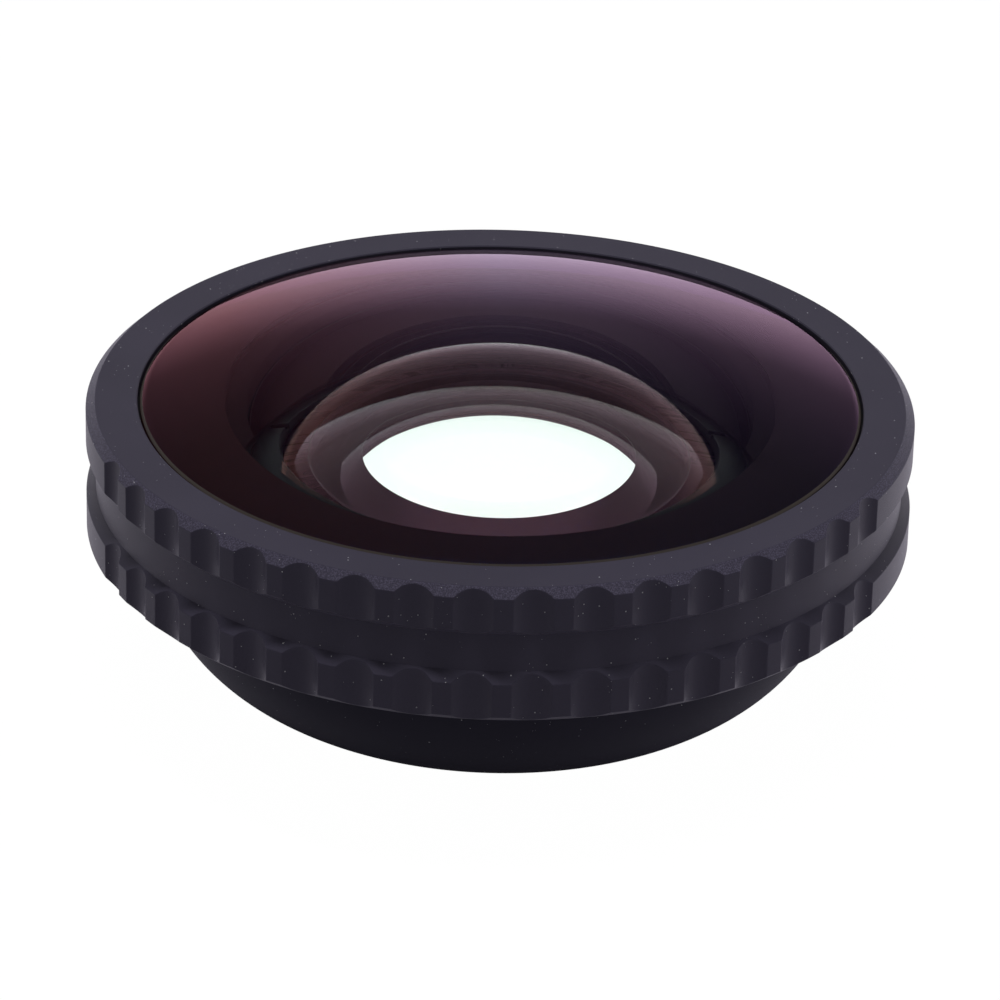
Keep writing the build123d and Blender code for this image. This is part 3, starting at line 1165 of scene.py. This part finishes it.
# The front coat's reflections are painted reddish at the left through pink to violet at the right,
# a painted warmer light on the left.
front_coat_and_side_light = coated_glass("front_coated_glass_and_side_light", 1.64, 135.0, reddish, pinkish, violet)
inner_coat = coated_glass("inner_coated_glass", 1.6, 0.0, (1.0, 0.45, 0.7))
doublet_coat = coated_glass("doublet_coated_glass", 1.57, 100.0, (1.0, 0.6, 0.85))
# The edge paint is painted lighter and redder at the left than at the right, a painted warmer light
# on the left.
side_lit_paint_left, side_lit_paint_right = (0.072, 0.011, 0.014), (0.026, 0.011, 0.022)
edge_paint_and_side_light = plain("edge_paint_and_side_light", side_lit_paint_left, 0.6, 3000.0, 0.2, right_colour=side_lit_paint_right)
ground_edge = plain("ground_edge", (0.4, 0.2, 0.3), 0.7, 5000.0, 0.3)

finish_lens(front_glass, front_coat_and_side_light, edge_paint_and_side_light, hollow_reach, (seat_z, tail_z))
finish_lens(second_glass, inner_coat, ground_edge, second_reach, (second_seat_z,))
finish_lens(doublet, doublet_coat, edge_paint_and_side_light, doublet_radius)

# %% Ground bevel of the front glass
ground_glass = plain("ground_glass", (0.05, 0.04, 0.034), 0.6, 5000.0, 0.3)
bevel_slopes = (0.5, 0.9)
front_glass.data.materials.append(ground_glass.data)
bevel_faces = 0
for face in front_glass.data.polygons:
    at_rim = hypot(*face.center.xy) > glass_radius - glass_bevel
    if at_rim and bevel_slopes[0] < face.normal.z < bevel_slopes[1]:
        face.material_index = 2
        bevel_faces += 1
print(f"{front_glass.name}: {bevel_faces} ground faces on the bevel")

# %% [markdown]
# ## Floor, light and camera
#
# The photograph was taken on a white table with soft light. The floor is white to the camera and
# to light seen through the glass, and it still takes the lens's shadow. In reflections it is dark
# right under the lens, where the shadow lies, and brighter at the right, where a window would be.
# It can be seen through from below, so that the lens's rear shows in a view from there.
#
# The world is pure white where the camera sees it and a room elsewhere: a bright wall behind the
# lens that dims towards the ceiling, a dark one in front, and soft light from both sides, more of
# it from the right. Glass shows a little more of the white than metal does. One wide soft lamp
# hangs above. It isn't seen in reflections, where a hard bright patch would show. The camera's
# height, roll and lens were worked out from the ellipses that the ring makes in the photograph.

# %% Floor
floor_size = 40
floor_gap = 0.05 * mm
bpy.ops.object.select_all(action="DESELECT")
bpy.ops.mesh.primitive_plane_add(size=floor_size, location=(0, 0, -floor_gap))
floor = bpy.context.object
floor.name = "studio_floor"
print(f"{floor.name}: {floor_size} m wide")

# %% How white the table is
table_finish = Finish("white_table")
camera_ray, glossy_ray, glass_ray = (
    table_finish.node("ShaderNodeLightPath", output=f"Is {kind} Ray")
    for kind in ("Camera", "Glossy", "Transmission")
)
table_place = table_finish.place()
table_reach = table_finish.node(
    "ShaderNodeVectorMath", {"operation": "LENGTH"}, {0: table_place}, output="Value"
)
shadow_reach, shadow_fade, shadow_share = 30 * mm, 15 * mm, 0.03
camera_share = 0.93
open_share = ((table_reach - shadow_reach) / shadow_fade).clamped()
open_share = open_share * (1 - shadow_share) + shadow_share
white_share = (camera_ray * camera_share + glossy_ray * open_share + glass_ray).clamped()

# %% Colours of the table
window_side, window_reach = 0.15, 0.4
table_right = (table_finish.axis(table_place, "X") / window_side).clamped()
right_share = table_right * (1 - table_reach / window_reach).clamped()
table_glow = table_finish.mixed(right_share, tint(0.97, 0.92, 1.04), tint(1.6, 1.5, 1.7))
plain_light = table_finish.mixed(glossy_ray, tint(1, 1, 1), table_glow)
table_light = table_finish.mixed(glass_ray, plain_light, tint(1.1, 1.1, 1.1))

shaded = table_finish.node("ShaderNodeBsdfDiffuse", {}, {"Color": tint(0.25, 0.25, 0.25)})
white = table_finish.node("ShaderNodeEmission", {}, {"Color": table_light, "Strength": 1.07})
from_below = table_finish.node("ShaderNodeNewGeometry", output="Backfacing")
clear = table_finish.node("ShaderNodeBsdfTransparent", {}, {"Color": tint(1, 1, 1)})
table_finish.surface(
    table_finish.blended(from_below, table_finish.blended(white_share, shaded, white), clear)
)
table_finish.put_on(floor)

# %% World
world_finish = Finish("studio_world", world=True)
direction = world_finish.node("ShaderNodeTexCoord", output="Generated")
across, forth, up = (world_finish.axis(direction, letter) for letter in "XYZ")


def brightness(*stops):
    """A nearly grey colour that follows the height above the horizon."""
    colours = [(place, (value * 0.98, value * 0.95, value)) for place, value in stops]
    return world_finish.node("ShaderNodeValToRGB", {"stops": colours}, {0: up})


back_wall_fall = ((0.04, 1), (0.143, 0.82), (0.22, 0.58), (0.29, 0.36), (0.42, 0.28), (0.6, 0.14))
back_wall = brightness((0, 1), (1, 0.09), *back_wall_fall)
front_wall = brightness((0, 0.12), (1, 0.4), (0.3, 0.04), (0.68, 0.07), (0.82, 0.4))
back_share = (forth * 1.6 + 0.5).clamped()
room = world_finish.mixed(back_share, front_wall, back_wall)

# %% Light from the sides and the white backdrop
side_share = (across * across * across * across * (1 - up * 3).clamped()).clamped()
window_share = (across * 0.5 + 0.5).clamped()
side_light = world_finish.mixed(window_share, tint(0.42, 0.4, 0.46), tint(1.15, 1.1, 1.25))
room = world_finish.mixed(side_share, room, side_light)
seen, seen_through = (
    world_finish.node("ShaderNodeLightPath", output=f"Is {kind} Ray")
    for kind in ("Camera", "Transmission")
)
through_share = 0.12
backdrop = world_finish.mixed(seen + seen_through * through_share, room, tint(1, 1, 1))
background = world_finish.node("ShaderNodeBackground", {}, {"Color": backdrop})
world_finish.node("ShaderNodeOutputWorld", {}, {"Surface": background})
bpy.context.scene.world = world_finish.data
print(f"{world_finish.data.name}: {len(world_finish.nodes)} nodes")

# %% Lamp
lamp_place = Vector((-0.05, -0.1, 1.2))
lamp_target = Vector((0, 0, 0.02))
lamp_size = (0.75, 0.12)
lamp_power = 7.6

light = bpy.data.lights.new("top_lamp", "AREA")
light.shape = "RECTANGLE"
light.size, light.size_y = lamp_size
light.energy = lamp_power
top_lamp = bpy.data.objects.new("top_lamp", light)
top_lamp.location = lamp_place
top_lamp.rotation_euler = (lamp_target - lamp_place).to_track_quat("-Z", "Y").to_euler()
top_lamp.visible_glossy = top_lamp.visible_transmission = False
bpy.context.collection.objects.link(top_lamp)
print(f"{top_lamp.name}: {lamp_power} W, {lamp_place.length:.2f} m away")

# %% Camera
camera_distance = 0.6
camera_height = radians(26.05)
camera_turn = radians(-91.39)
camera_roll = radians(1.475)
focal_pixels = 5648.2
ring_pixel = (500.72, 396.83)
image_size = 1000
sensor_width = 36
nearest_seen = 0.01

ring_centre = Vector((0, 0, face_z))
level = cos(camera_height)
back = Vector((cos(camera_turn) * level, sin(camera_turn) * level, sin(camera_height)))
pitch_down = -atan2(image_size / 2 - ring_pixel[1], focal_pixels)
yaw_left = atan2(ring_pixel[0] - image_size / 2, focal_pixels)
aim = (-back).to_track_quat("-Z", "Y").to_matrix()
aim = aim @ Matrix.Rotation(camera_roll, 3, "Z")
aim = aim @ Matrix.Rotation(pitch_down, 3, "X") @ Matrix.Rotation(yaw_left, 3, "Y")

camera_data = bpy.data.cameras.new("photo_camera")
camera_data.sensor_width = sensor_width
camera_data.lens = focal_pixels * sensor_width / image_size
camera_data.clip_start = nearest_seen
camera = bpy.data.objects.new("photo_camera", camera_data)
bpy.context.collection.objects.link(camera)
camera.matrix_world = Matrix.Translation(ring_centre + camera_distance * back) @ aim.to_4x4()
bpy.context.scene.camera = camera
bpy.context.scene.view_settings.view_transform = "Standard"
print(f"{camera.name}: {camera_distance} m from the ring, {camera_data.lens:.0f} mm lens")
